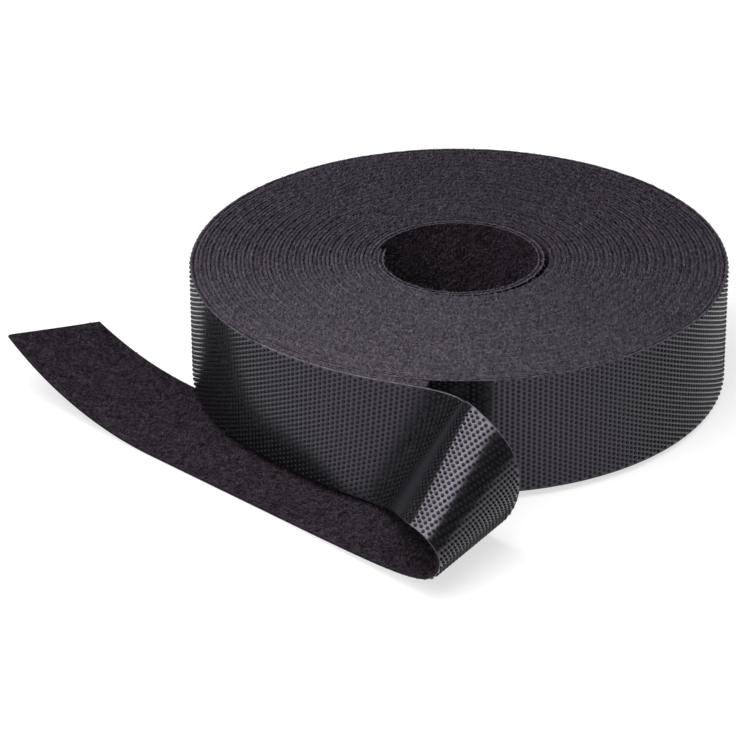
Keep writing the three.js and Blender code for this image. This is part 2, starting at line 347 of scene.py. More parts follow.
# Stretches of the tape that are made as one piece: first and last reach along it, and its cuts
WHOLE_WINDING = (0, WOUND_END, ())
CURL_ALONE = (WOUND_END, TAIL_ZERO, ())
CURL_STRETCH = (WOUND_END, SEAM_REACH, ((SEAM_POINT, SEAM_WAY),))
END_STRETCH = (SEAM_POINT[0], TAPE_END, ((SEAM_POINT, BACK_FROM_SEAM), (END_POINT, END_WAY)))


# Settings that a user would change
class FilmSettings(bpy.types.PropertyGroup):
    """Hook film and its hooks."""

    column_step: bpy.props.FloatProperty(
        name="Film step", description="Length of one facet along the film", default=1 * MM, unit="LENGTH")
    hook_pitch_along: bpy.props.FloatProperty(
        name="Hook pitch along", description="Length of the pattern of two staggered hooks",
        default=2.17 * MM, unit="LENGTH")
    hook_pitch_over: bpy.props.FloatProperty(
        name="Hook pitch across", description="Width of the pattern of two staggered hooks",
        default=1.015 * MM, unit="LENGTH")
    head_diameter: bpy.props.FloatProperty(
        name="Hook head", description="Diameter of a hook's domed head", default=0.72 * MM, unit="LENGTH")
    stem_diameter: bpy.props.FloatProperty(
        name="Hook stem", description="Diameter of a hook's stem at the film",
        default=0.3 * MM, unit="LENGTH")
    film_dark: bpy.props.FloatVectorProperty(
        name="Film, dark", description="Darker tone of the film", default=(0.0035, 0.0033, 0.0042),
        subtype="COLOR", min=0, max=1)
    film_light: bpy.props.FloatVectorProperty(
        name="Film, light", description="Lighter tone of the film", default=(0.0075, 0.007, 0.0086),
        subtype="COLOR", min=0, max=1)
    hook_dark: bpy.props.FloatVectorProperty(
        name="Hooks, dark", description="Darker tone of the hooks", default=(0.0028, 0.0026, 0.0033),
        subtype="COLOR", min=0, max=1)
    hook_light: bpy.props.FloatVectorProperty(
        name="Hooks, light", description="Lighter tone of the hooks", default=(0.006, 0.0056, 0.0069),
        subtype="COLOR", min=0, max=1)


class FabricSettings(bpy.types.PropertyGroup):
    """Loop fabric, its pile and its edges."""

    wound_step: bpy.props.FloatProperty(
        name="Wound fabric step", description="Length of one facet along the wound fabric",
        default=0.75 * MM, unit="LENGTH")
    free_step: bpy.props.FloatProperty(
        name="Free fabric step", description="Length of one facet along the free fabric",
        default=1 * MM, unit="LENGTH")
    edge_ruffle: bpy.props.FloatProperty(
        name="Edge ruffle", description="How far the fabric's edges stray", default=0.12 * MM, unit="LENGTH")
    strand: bpy.props.FloatProperty(
        name="Strand", description="Diameter of a strand of the pile", default=0.21 * MM, unit="LENGTH")
    loop_span: bpy.props.FloatProperty(
        name="Loop span", description="Distance between the feet of a loop", default=0.62 * MM, unit="LENGTH")
    tuft: bpy.props.FloatProperty(
        name="Tuft", description="Thickness of a tuft of the edge nap", default=0.3 * MM, unit="LENGTH")
    tuft_span: bpy.props.FloatProperty(
        name="Tuft span", description="Distance between the feet of a tuft", default=0.5 * MM, unit="LENGTH")
    tuft_step: bpy.props.FloatProperty(
        name="Tuft step", description="Distance between tufts along the tape",
        default=0.45 * MM, unit="LENGTH")
    fibre: bpy.props.FloatProperty(
        name="Fibre", description="Diameter of a stray fibre of the edge nap",
        default=0.16 * MM, unit="LENGTH")
    fibre_span: bpy.props.FloatProperty(
        name="Fibre span", description="Distance between the feet of a stray fibre",
        default=1.3 * MM, unit="LENGTH")
    fibre_step: bpy.props.FloatProperty(
        name="Fibre step", description="Distance between stray fibres along the tape",
        default=1.3 * MM, unit="LENGTH")
    pile_step: bpy.props.FloatProperty(
        name="Pile step", description="Distance between loops", default=0.71 * MM, unit="LENGTH")
    pile_dark: bpy.props.FloatVectorProperty(
        name="Pile, dark", description="Darker tone of the pile", default=(0.03, 0.0234, 0.0312),
        subtype="COLOR", min=0, max=1)
    pile_light: bpy.props.FloatVectorProperty(
        name="Pile, light", description="Lighter tone of the pile", default=(0.076, 0.06, 0.0785),
        subtype="COLOR", min=0, max=1)
    nap_dark: bpy.props.FloatVectorProperty(
        name="Nap, dark", description="Darker tone of the nap along the edges",
        default=(0.0167, 0.0146, 0.019), subtype="COLOR", min=0, max=1)
    nap_light: bpy.props.FloatVectorProperty(
        name="Nap, light", description="Lighter tone of the nap along the edges",
        default=(0.11, 0.0962, 0.1218), subtype="COLOR", min=0, max=1)
    # Pale tones of the cut edge: partly its own tone, partly a painted highlight
    cut_dark: bpy.props.FloatVectorProperty(
        name="Highlit cut edge, dark", description="Darker tone of the cut edge", default=(0.055, 0.049, 0.061),
        subtype="COLOR", min=0, max=1)
    cut_light: bpy.props.FloatVectorProperty(
        name="Highlit cut edge, light", description="Lighter tone of the cut edge", default=(0.16, 0.142, 0.176),
        subtype="COLOR", min=0, max=1)
    knit_dark: bpy.props.FloatVectorProperty(
        name="Knit, dark", description="Darker tone of the knit", default=(0.018, 0.0139, 0.0187),
        subtype="COLOR", min=0, max=1)
    knit_light: bpy.props.FloatVectorProperty(
        name="Knit, light", description="Lighter tone of the knit", default=(0.042, 0.0326, 0.0433),
        subtype="COLOR", min=0, max=1)


class StudioSettings(bpy.types.PropertyGroup):
    """Floor, light and camera."""

    floor_colour: bpy.props.FloatVectorProperty(
        name="Floor", description="Colour of the floor", default=(0.42, 0.42, 0.42),
        subtype="COLOR", min=0, max=1)
    floor_glow: bpy.props.FloatProperty(
        name="Floor glow", description="White added to the floor where it is seen", default=0.68)
    floor_radius: bpy.props.FloatProperty(
        name="Floor radius", description="Reach of the floor", default=2.5, unit="LENGTH")
    softbox_side: bpy.props.FloatProperty(
        name="Softbox", description="Side of the overhead softbox", default=1.1, unit="LENGTH")
    softbox_power: bpy.props.FloatProperty(
        name="Softbox power", description="Power of the overhead softbox", default=0.5, unit="POWER")
    strip_length: bpy.props.FloatProperty(
        name="Strip", description="Length of the overhead strip lamp", default=1.66, unit="LENGTH")
    strip_width: bpy.props.FloatProperty(
        name="Strip width", description="Width of the overhead strip lamp", default=0.2, unit="LENGTH")
    strip_power: bpy.props.FloatProperty(
        name="Strip power", description="Power of the overhead strip lamp", default=6, unit="POWER")
    key_side: bpy.props.FloatProperty(
        name="Key", description="Side of the near key lamp", default=0.2, unit="LENGTH")
    key_power: bpy.props.FloatProperty(
        name="Key power", description="Power of the near key lamp", default=0.42, unit="POWER")
    surround: bpy.props.FloatProperty(
        name="Surround", description="Brightness of the dark surroundings", default=0.06)
    focal_length: bpy.props.FloatProperty(
        name="Focal length", description="Camera's focal length in millimetres", default=177.6)


# Finishes: scale of the mottle, range of the roughness, strength and depth of the relief, specular level
Finish = namedtuple("Finish", ("scale", "roughness", "relief", "specular"))
FILM_FINISH = Finish(scale=900, roughness=(0.18, 0.3), relief=(0.05, 0.02 * MM), specular=0.66)
HOOK_FINISH = Finish(scale=1400, roughness=(0.38, 0.5), relief=(0.05, 0.02 * MM), specular=0.3)
KNIT_FINISH = Finish(scale=1500, roughness=(0.85, 0.98), relief=(0.6, 0.15 * MM), specular=0.05)
PILE_FINISH = Finish(scale=1100, roughness=(0.8, 0.95), relief=(0.3, 0.05 * MM), specular=0.1)
NAP_FINISH = Finish(scale=1700, roughness=(0.8, 0.95), relief=(0.3, 0.05 * MM), specular=0.25)
CUT_FINISH = Finish(scale=1300, roughness=(0.55, 0.75), relief=(0.3, 0.05 * MM), specular=0.3)
FILM_TINT = (0.9, 0.84, 1.0, 1)
FLOOR_ROUGHNESS = 0.9
BLACK = (0, 0, 0, 1)
WHITE = (1, 1, 1, 1)

# Noise of the two groups: its grain, and the range that is stretched to the full scale
MOTTLE_GRAIN = {"Detail": 3.0, "Roughness": 0.6}
MOTTLE_RANGE = {"From Min": 0.3, "From Max": 0.7}
STREAK_GRAIN = {"Scale": 1.0, "Detail": 2.0, "Roughness": 0.55}
STREAK_RANGE = {"From Min": 0.36, "From Max": 0.62}
STREAK_TURN = (0, 0, math.radians(TAIL_HEADING))
STREAK_SIZE = (1.4 * MM, 0.5 * MM, 1 * MM)
# How far the streaks darken the knit and the pile, as painted shade
KNIT_STREAK_SHADE = 0.6
PILE_STREAK_SHADE = 0.65

# Sockets of the mix node and kinds of sockets
MIX_FACTOR, MIX_A, MIX_B, MIX_RESULT = 0, 6, 7, 2
COLOUR = "NodeSocketColor"
VALUE = "NodeSocketFloat"
VECTOR = "NodeSocketVector"


# Materials
def shader_node(tree, kind, inputs=None, **settings):
    """A new node with its settings, and its inputs set to values or linked to sockets."""
    made = tree.nodes.new(kind)
    for name, value in settings.items():
        setattr(made, name, value)
    for name, value in (inputs or {}).items():
        if isinstance(value, bpy.types.NodeSocket):
            tree.links.new(value, made.inputs[name])
        else:
            made.inputs[name].default_value = value
    return made


def arithmetic(tree, operation, first, second=0.0, clamped=False):
    """Result of one arithmetic step."""
    made = shader_node(tree, "ShaderNodeMath", {0: first, 1: second}, operation=operation, use_clamp=clamped)
    return made.outputs["Value"]


def new_group(name, inputs, outputs):
    """An empty shader node group with named sockets, and the sockets inside it."""
    tree = bpy.data.node_groups.new(name, "ShaderNodeTree")
    for label, kind in inputs.items():
        tree.interface.new_socket(label, in_out="INPUT", socket_type=kind)
    for label, kind in outputs.items():
        tree.interface.new_socket(label, in_out="OUTPUT", socket_type=kind)
    return tree, tree.nodes.new("NodeGroupInput").outputs, tree.nodes.new("NodeGroupOutput").inputs


def mottle_group():
    """Uneven tone and gloss: one noise mixes two colours, sets the roughness and gives a height."""
    tree, given, put = new_group(
        "Mottle",
        {"Vector": VECTOR, "Scale": VALUE, "Dark": COLOUR, "Light": COLOUR, "Smooth": VALUE, "Rough": VALUE},
        {"Color": COLOUR, "Roughness": VALUE, "Height": VALUE})
    noise = shader_node(tree, "ShaderNodeTexNoise", {
        "Vector": given["Vector"], "Scale": given["Scale"], **MOTTLE_GRAIN})
    spread = shader_node(tree, "ShaderNodeMapRange", {"Value": noise.outputs["Fac"], **MOTTLE_RANGE})
    gloss = shader_node(tree, "ShaderNodeMapRange", {
        "Value": noise.outputs["Fac"], **MOTTLE_RANGE, "To Min": given["Smooth"], "To Max": given["Rough"]})
    tone = shader_node(tree, "ShaderNodeMix", {
        MIX_FACTOR: spread.outputs["Result"], MIX_A: given["Dark"], MIX_B: given["Light"]}, data_type="RGBA")
    tree.links.new(tone.outputs[MIX_RESULT], put["Color"])
    tree.links.new(gloss.outputs["Result"], put["Roughness"])
    tree.links.new(spread.outputs["Result"], put["Height"])
    return tree


def shaded_streaks_group():
    """Slanted streaks where the pile lies down, as a height, and as painted shade that darkens the tone where
    the height is low.
    """
    tree, given, put = new_group(
        "Streaks",
        {"Vector": VECTOR, "Turn": VECTOR, "Size": VECTOR, "Color": COLOUR, "Depth": VALUE},
        {"Color": COLOUR, "Height": VALUE})
    lain = shader_node(tree, "ShaderNodeMapping", {
        "Vector": given["Vector"], "Rotation": given["Turn"], "Scale": given["Size"]}, vector_type="TEXTURE")
    noise = shader_node(tree, "ShaderNodeTexNoise", {"Vector": lain.outputs["Vector"], **STREAK_GRAIN})
    spread = shader_node(tree, "ShaderNodeMapRange", {"Value": noise.outputs["Fac"], **STREAK_RANGE})
    height = spread.outputs["Result"]
    # Painted shade: the tone darkens towards black where the streaks' height is low
    shade = arithmetic(tree, "MULTIPLY", arithmetic(tree, "SUBTRACT", 1.0, height), given["Depth"])
    tone = shader_node(tree, "ShaderNodeMix", {
        MIX_FACTOR: shade, MIX_A: given["Color"], MIX_B: BLACK}, data_type="RGBA")
    tree.links.new(tone.outputs[MIX_RESULT], put["Color"])
    tree.links.new(height, put["Height"])
    return tree


def group_called(name, make):
    """The shader node group of that name, made the first time that it is needed."""
    return bpy.data.node_groups.get(name) or make()


def new_material(name, place, tones, finish):
    """A material whose tone, roughness and relief come from the mottle group; returns it and its nodes."""
    made = bpy.data.materials.new(name)
    made.use_nodes = True
    tree = made.node_tree
    if place == FLAT_ATTRIBUTE:
        vector = shader_node(tree, "ShaderNodeAttribute", attribute_name=FLAT_ATTRIBUTE).outputs["Vector"]
    else:
        vector = shader_node(tree, "ShaderNodeTexCoord").outputs[place]
    mottle = shader_node(tree, "ShaderNodeGroup", {
        "Vector": vector, "Scale": finish.scale, "Dark": (*tones[0], 1), "Light": (*tones[1], 1),
        "Smooth": finish.roughness[0], "Rough": finish.roughness[1]},
        node_tree=group_called("Mottle", mottle_group))
    relief = shader_node(tree, "ShaderNodeBump", {
        "Height": mottle.outputs["Height"], "Strength": finish.relief[0], "Distance": finish.relief[1]})
    shader = tree.nodes["Principled BSDF"]
    shader.inputs["Specular IOR Level"].default_value = finish.specular
    tree.links.new(mottle.outputs["Color"], shader.inputs["Base Color"])
    tree.links.new(mottle.outputs["Roughness"], shader.inputs["Roughness"])
    tree.links.new(relief.outputs["Normal"], shader.inputs["Normal"])
    return made, shader, mottle, relief


def shade_streaked(material_parts, depth):
    """Darkens a fabric in slanted streaks that follow the flat tape: painted shade in the dents where the
    pile lies down.
    """
    made, shader, mottle, relief = material_parts
    tree = made.node_tree
    streaks = shader_node(tree, "ShaderNodeGroup", {
        "Vector": mottle.inputs["Vector"].links[0].from_socket, "Turn": STREAK_TURN, "Size": STREAK_SIZE,
        "Color": mottle.outputs["Color"], "Depth": depth}, node_tree=group_called("Streaks", shaded_streaks_group))
    tree.links.new(streaks.outputs["Color"], shader.inputs["Base Color"])
    tree.links.new(streaks.outputs["Height"], relief.inputs["Height"])
    return made


def film_material(film):
    """Glossy black film, a little uneven in tone and gloss."""
    made, shader, *_ = new_material("Hook film", "Object", (film.film_dark, film.film_light), FILM_FINISH)
    shader.inputs["Specular Tint"].default_value = FILM_TINT
    return made


def hook_material(film):
    """Moulded hooks, blacker and less glossy than the film between them."""
    made, shader, *_ = new_material("Moulded hooks", "Object", (film.hook_dark, film.hook_light), HOOK_FINISH)
    shader.inputs["Specular Tint"].default_value = FILM_TINT
    return made


def knit_material(fabric):
    """Ground of the loop fabric, darkened in streaks with painted shade."""
    tones = (fabric.knit_dark, fabric.knit_light)
    return shade_streaked(new_material("Knit ground", FLAT_ATTRIBUTE, tones, KNIT_FINISH), KNIT_STREAK_SHADE)


def pile_material(fabric):
    """Napped strands of the pile, which lie down in streaks that are darkened with painted shade."""
    tones = (fabric.pile_dark, fabric.pile_light)
    return shade_streaked(new_material("Pile", FLAT_ATTRIBUTE, tones, PILE_FINISH), PILE_STREAK_SHADE)


def nap_material(fabric):
    """Strands along the edges of the wound tape, each in its own tone."""
    return new_material("Edge nap", FLAT_ATTRIBUTE, (fabric.nap_dark, fabric.nap_light), NAP_FINISH)[0]


def highlit_cut_edge_material(fabric):
    """Cut edge of the film, paler and duller than its face: its pale tone is partly the edge's own and partly
    a painted highlight of the light that the edge catches.
    """
    return new_material("Highlit cut edge", FLAT_ATTRIBUTE, (fabric.cut_dark, fabric.cut_light), CUT_FINISH)[0]


def floor_material(studio):
    """Pale floor that is seen as white, and still takes the roll's shadow."""
    made = bpy.data.materials.new("Floor")
    made.use_nodes = True
    tree = made.node_tree
    shader = tree.nodes["Principled BSDF"]
    shader.inputs["Base Color"].default_value = (*studio.floor_colour, 1)
    shader.inputs["Roughness"].default_value = FLOOR_ROUGHNESS
    shader.inputs["Specular IOR Level"].default_value = 0
    shader.inputs["Emission Color"].default_value = WHITE
    rays = shader_node(tree, "ShaderNodeLightPath").outputs
    seen = arithmetic(tree, "ADD", rays["Is Camera Ray"], rays["Is Glossy Ray"])
    seen = arithmetic(tree, "ADD", seen, rays["Is Transmission Ray"], clamped=True)
    tree.links.new(arithmetic(tree, "MULTIPLY", seen, studio.floor_glow), shader.inputs["Emission Strength"])
    return made


def flag_material():
    """Dead black of a studio flag."""
    made = bpy.data.materials.new("Flag")
    made.use_nodes = True
    shader = made.node_tree.nodes["Principled BSDF"]
    shader.inputs["Base Color"].default_value = BLACK
    shader.inputs["Specular IOR Level"].default_value = 0
    return made


def material_called(name, make, *values):
    """The material of that name, made the first time that it is needed."""
    return bpy.data.materials.get(name) or make(*values)


# Flat pieces and how they are laid
def flat_strip(stretch, over, depths, step, rows):
    """A flat layer of a stretch of tape, between two depths from the bond, with its long edges rounded."""
    start, end, cuts = stretch
    strip = bmesh.new()
    middle = Matrix.Translation(((start + end) / 2, sum(over) / 2, depths[0]))
    size = Matrix.Diagonal((end - start, over[1] - over[0], 1, 1))
    columns = round((end - start) / step)
    bmesh.ops.create_grid(strip, x_segments=columns, y_segments=rows, size=0.5, matrix=middle @ size)
    for point, way in cuts:
        parts = strip.verts[:] + strip.edges[:] + strip.faces[:]
        bmesh.ops.bisect_plane(
            strip, geom=parts, dist=TOUCH, plane_co=point, plane_no=way, clear_outer=True)
    grown = bmesh.ops.extrude_face_region(strip, geom=strip.faces[:], use_keep_orig=True)
    raised = [part for part in grown["geom"] if isinstance(part, bmesh.types.BMVert)]
    bmesh.ops.translate(strip, vec=(0, 0, depths[1] - depths[0]), verts=raised)
    bmesh.ops.recalc_face_normals(strip, faces=strip.faces[:])
    corners = [edge for edge in strip.edges if edge.calc_face_angle(0) > RIM_ANGLE]
    rims = [edge for edge in corners if abs((edge.verts[0].co - edge.verts[1].co).y) < TOUCH]
    bmesh.ops.bevel(
        strip, geom=rims, offset=EDGE_ROUND, offset_type="OFFSET", segments=1, profile=0.5,
        affect="EDGES", material=-1)
    return finished_mesh(strip)


def finished_mesh(shape):
    """Mesh of a bmesh, which is freed."""
    mesh = bpy.data.meshes.new("flat")
    shape.to_mesh(mesh)
    shape.free()
    return mesh


def places(mesh):
    """Places of a mesh's corners, one row each."""
    found = np.empty(len(mesh.vertices) * 3, np.float32)
    mesh.vertices.foreach_get("co", found)
    return found.reshape(-1, 3).astype(float)


def repeated(unit_shape, along, over):
    """Mesh of a small shape set out in rows; along and over hold the first place, the step and the count."""
    shape = bpy.data.objects.new("pattern", finished_mesh(unit_shape))
    bpy.context.collection.objects.link(shape)
    for axis, (_, step, count) in enumerate((along, over)):
        rows = shape.modifiers.new("rows", "ARRAY")
        rows.use_relative_offset = False
        rows.use_constant_offset = True
        rows.constant_offset_displace = [step if axis == k else 0 for k in range(3)]
        rows.count = count
    mesh = bpy.data.meshes.new_from_object(shape.evaluated_get(bpy.context.evaluated_depsgraph_get()))
    first = shape.data
    bpy.data.objects.remove(shape)
    bpy.data.meshes.remove(first)
    mesh.transform(Matrix.Translation((along[0], over[0], 0)))
    return mesh


def within(roots, cuts, margin):
    """Which of the roots lie on the kept side of every cut, by at least the margin."""
    kept = np.ones(len(roots), bool)
    for point, way in cuts:
        kept &= (roots - np.array(point)) @ unit(np.array(way, float)) < -margin
    return kept


def drop(mesh, kept):
    """Deletes the corners that aren't kept, with their faces."""
    shape = bmesh.new()
    shape.from_mesh(mesh)
    lost = [corner for corner, stays in zip(shape.verts[:], kept) if not stays]
    bmesh.ops.delete(shape, geom=lost, context="VERTS")
    shape.to_mesh(mesh)
    shape.free()


def laid_piece(name, mesh, flat, material):
    """Object of a flat mesh laid on the route, which keeps its flat places for the patterns on it."""
    kept = mesh.attributes.new(FLAT_ATTRIBUTE, "FLOAT_VECTOR", "POINT")
    kept.data.foreach_set("vector", flat.astype(np.float32).ravel())
    mesh.vertices.foreach_set("co", lay(flat).astype(np.float32).ravel())
    mesh.polygons.foreach_set("use_smooth", np.ones(len(mesh.polygons), bool))
    mesh.set_sharp_from_angle(angle=SHARP_ANGLE)
    mesh.materials.append(material)
    piece = bpy.data.objects.new(name, mesh)
    bpy.context.collection.objects.link(piece)
    return piece


def strip_piece(name, stretch, over, depths, step, rows, material, slot, nodes=(), ruffle=0):
    """A layer of a stretch of tape, which stands for the frame's nodes of that layer, if it is named any."""
    mesh = flat_strip(stretch, over, depths, step, rows)
    flat = places(mesh)
    if ruffle:
        chance = np.random.default_rng(RUFFLE_SEED)
        edges = (flat[:, 1] < over[0] + EDGE_BAND) | (flat[:, 1] > over[1] - EDGE_BAND)
        flat[edges, 1:] += chance.uniform(-1, 1, (np.count_nonzero(edges), 2)) * ruffle
    piece = laid_piece(name, mesh, flat, material)
    if nodes:
        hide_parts(*nodes)
    return piece


def fold(piece):
    """Bakes a piece's placement into its mesh."""
    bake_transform(piece)


# Hooks
def hook_pair(film):
    """Two moulded hooks of the staggered pattern: short stems that flare into domed heads."""
    pair = bmesh.new()
    tall = HOOK_THICKNESS - FILM_THICKNESS + HOOK_SUNK
    for place in HOOK_STAGGER:
        foot = Matrix.Translation(
            (place * film.hook_pitch_along, place * film.hook_pitch_over, FILM_THICKNESS - HOOK_SUNK))
        radius = film.stem_diameter / 2
        height = 0
        made = bmesh.ops.create_circle(pair, cap_ends=True, segments=HOOK_SIDES, radius=radius, matrix=foot)
        face = made["verts"][0].link_faces[0]
        for share, higher in HOOK_RINGS:
            wider = film.head_diameter / 2 * share
            growth = (wider / radius, wider / radius, 1)
            face = bmesh.ops.extrude_discrete_faces(pair, faces=[face])["faces"][0]
            bmesh.ops.scale(pair, vec=growth, space=foot.inverted(), verts=face.verts[:])
            bmesh.ops.translate(pair, vec=(0, 0, (higher - height) * tall), verts=face.verts[:])
            radius = wider
            height = higher
    open_rims = [edge for edge in pair.edges if edge.is_boundary]
    bmesh.ops.holes_fill(pair, edges=open_rims, sides=HOOK_SIDES)
    bmesh.ops.recalc_face_normals(pair, faces=pair.faces[:])
    return pair


def hook_patch(name, film, first_column, columns, cuts=()):
    """Hooks of a stretch of tape, counted in columns of the pattern from the end of the winding."""
    rows = math.floor(TAPE_WIDTH / film.hook_pitch_over)
    margin = (TAPE_WIDTH - rows * film.hook_pitch_over) / 2
    start = WOUND_END + first_column * film.hook_pitch_along
    pair = hook_pair(film)
    corners = len(pair.verts) // 2
    mesh = repeated(pair, (start, film.hook_pitch_along, columns), (margin, film.hook_pitch_over, rows))
    if cuts:
        roots = places(mesh).reshape(-1, corners, 3).mean(axis=1)
        drop(mesh, np.repeat(within(roots, cuts, 0), corners))
    material = material_called("Moulded hooks", hook_material, film)
    return laid_piece(name, mesh, places(mesh), material)


# Pile, nap and felt
def pile_loop(strand, span, tall, steps):
    """One loop of the pile: a strand arched between its two feet, standing on z = 0."""
    loop = bmesh.new()
    foot = Matrix.Translation((-span / 2, 0, 0))
    bmesh.ops.create_circle(loop, cap_ends=True, segments=LOOP_SIDES, radius=strand / 2, matrix=foot)
    bmesh.ops.spin(
        loop, geom=loop.verts[:] + loop.edges[:] + loop.faces[:], cent=(0, 0, 0), axis=(0, 1, 0),
        angle=math.pi, steps=steps)
    bmesh.ops.scale(loop, vec=(1, 1, 2 * tall / span), verts=loop.verts[:])
    bmesh.ops.recalc_face_normals(loop, faces=loop.faces[:])
    return loop


def tousled(standing, corners, seed, shift, lean, turn, stretch):
    """Loops turned, stretched, leaned along and across and shifted, each by its own seeded amounts."""
    chance = np.random.default_rng(seed)
    loops = standing.reshape(-1, corners, 3)
    count = len(loops)
    roots = loops.mean(axis=1) * (1, 1, 0)
    local = loops - roots[:, None]
    angle = chance.uniform(-turn, turn, count)
    cosine, sine = np.cos(angle)[:, None], np.sin(angle)[:, None]
    x, y, z = local.transpose(2, 0, 1)
    z = z * chance.uniform(*stretch, count)[:, None]
    sway = chance.uniform(-1, 1, (2, count, 1)) * np.reshape(lean, (2, 1, 1))
    turned = np.stack((x * cosine - y * sine + z * sway[0], x * sine + y * cosine + z * sway[1], z), axis=2)
    moved = chance.uniform(-1, 1, (count, 3)) * shift
    return (turned + (roots + moved)[:, None]).reshape(-1, 3)


def pile_patch(name, fabric, stretch, seed, material):
    """Pile on the loop side of a stretch of tape."""
    start, end, cuts = stretch
    step = fabric.pile_step
    columns = math.floor((end - start) / step)
    rows = math.floor((TAPE_WIDTH - 2 * PILE_MARGIN) / step) + 1
    tall = LOOP_THICKNESS - KNIT_THICKNESS + LOOP_SUNK
    loop = pile_loop(fabric.strand, fabric.loop_span, tall, LOOP_STEPS)
    corners = len(loop.verts)
    margin = (TAPE_WIDTH - (rows - 1) * step) / 2
    mesh = repeated(loop, (start + step / 2, step, columns), (margin, step, rows))
    stray = (step * PILE_STRAY, step * PILE_STRAY, 0)
    standing = tousled(places(mesh), corners, seed, stray, PILE_LEAN, ANY_TURN, PILE_STRETCH)
    if cuts:
        roots = standing.reshape(-1, corners, 3).mean(axis=1) * (1, 1, 0)
        kept = np.repeat(within(roots, cuts, fabric.loop_span / 2), corners)
        drop(mesh, kept)
        standing = standing[kept]
    flat = np.stack((standing[:, 0], standing[:, 1], LOOP_SUNK - KNIT_THICKNESS - standing[:, 2]), axis=1)
    mesh.flip_normals()
    return laid_piece(name, mesh, flat, material)


def nap_band(name, seed, material, tuft, depth, spread, turn, tilt, upper):
    """Tufts along an edge of the wound tape, at a depth from the bond; a tuft has a strand, span and step."""
    strand, span, step = tuft
    tall = NAP_HEIGHT if upper else LOWER_NAP_HEIGHT
    loop = pile_loop(strand, span, tall + LOOP_SUNK, NAP_STEPS)
    corners = len(loop.verts)
    end = WOUND_END + NAP_RUN_ON if upper else WOUND_END
    mesh = repeated(loop, (step / 2, step, math.floor(end / step)), (0, step, 1))
    stray = (step * NAP_STRAY, spread, 0)
    standing = tousled(places(mesh), corners, seed, stray, NAP_LEAN, turn, NAP_STRETCH)
    along, sideways, height = standing.T
    pressed = (along < INNER_TURN_END) | ((along > OUTER_TURN_START) & (along < WOUND_END))
    height = height * np.where(pressed, PRESSED_SHARE, 1)
    if upper:
        flat = np.stack((along, KNIT_TOP - LOOP_SUNK + height, depth - sideways - height * tilt), axis=1)
    else:
        flat = np.stack((along, KNIT_FOOT + LOOP_SUNK - height, depth + sideways), axis=1)
    return laid_piece(name, mesh, flat, material)


def felt_band(name, stretch, foot, material):
    """Felt from a foot to the fabric's top edge, sloped there, and grown where the tape leaves the roll."""
    mesh = flat_strip(stretch, (foot, KNIT_TOP), FELT_DEPTHS, FELT_STEP, 1)
    flat = places(mesh)
    run_on = np.maximum(0, flat[:, 0] - WOUND_END) / NAP_RUN_ON
    inner = flat[:, 2] < FELT_MIDDLE
    top = flat[:, 1] > KNIT_TOP - EDGE_BAND
    flat[:, 1] += np.where(top, (FELT_MIDDLE - flat[:, 2]) * FELT_SLOPE, 0)
    flat[:, 1] += np.where(top & inner, run_on * FELT_RISE, 0)
    flat[:, 2] -= np.where(inner, run_on ** FELT_GROWTH_POWER * FELT_GROWTH, 0)
    return laid_piece(name, mesh, flat, material)


# Stage
def add_floor(studio):
    """Round floor under the roll."""
    disc = bmesh.new()
    bmesh.ops.create_circle(disc, cap_ends=True, segments=FLOOR_SIDES, radius=studio.floor_radius)
    floor = bpy.data.objects.new("floor", finished_mesh(disc))
    floor.data.materials.append(floor_material(studio))
    bpy.context.collection.objects.link(floor)


def add_flag():
    """Black card that stands in front of the roll and shows in reflections alone."""
    card = bmesh.new()
    left, right = (Vector((*end, 0)) for end in FLAG_ENDS)
    standing = Matrix.Translation(left) @ (right - left).to_track_quat("X", "Z").to_matrix().to_4x4()
    bmesh.ops.create_grid(card, x_segments=1, y_segments=1, size=0.5)
    bmesh.ops.translate(card, vec=(0.5, 0.5, 0), verts=card.verts[:])
    bmesh.ops.scale(card, vec=((right - left).length, FLAG_HEIGHT, 1), verts=card.verts[:])
    upright = Matrix.Rotation(math.pi / 2, 4, "X")
    bmesh.ops.transform(card, matrix=standing @ upright, verts=card.verts[:])
    flag = bpy.data.objects.new("flag", finished_mesh(card))
    flag.data.materials.append(flag_material())
    flag.visible_camera = False
    flag.visible_shadow = False
    flag.visible_diffuse = False
    bpy.context.collection.objects.link(flag)


def add_aimed(name, data, place, aim, turn):
    """Lamp or camera at a place, aimed at a point and then turned about its own line of sight."""
    made = bpy.data.objects.new(name, data)
    made.rotation_mode = "QUATERNION"
    made.location = place
    level = (Vector(aim) - Vector(place)).to_track_quat("-Z", "Y")
    made.rotation_quaternion = level @ Quaternion((0, 0, 1), turn)
    bpy.context.collection.objects.link(made)
    return made


def add_lamp(name, size, power, place, aim, turn=0):
    """Flat lamp of a length and a width."""
    lamp = bpy.data.lights.new(name, "AREA")
    lamp.shape = "RECTANGLE"
    lamp.size, lamp.size_y = size
    lamp.energy = power
    add_aimed(name, lamp, place, aim, turn).visible_camera = False


def add_surround(studio):
    """Dark, even surroundings."""
    world = bpy.data.worlds.new("surround")
    world.use_nodes = True
    background = world.node_tree.nodes["Background"]
    background.inputs["Color"].default_value = WHITE
    background.inputs["Strength"].default_value = studio.surround
    bpy.context.scene.world = world


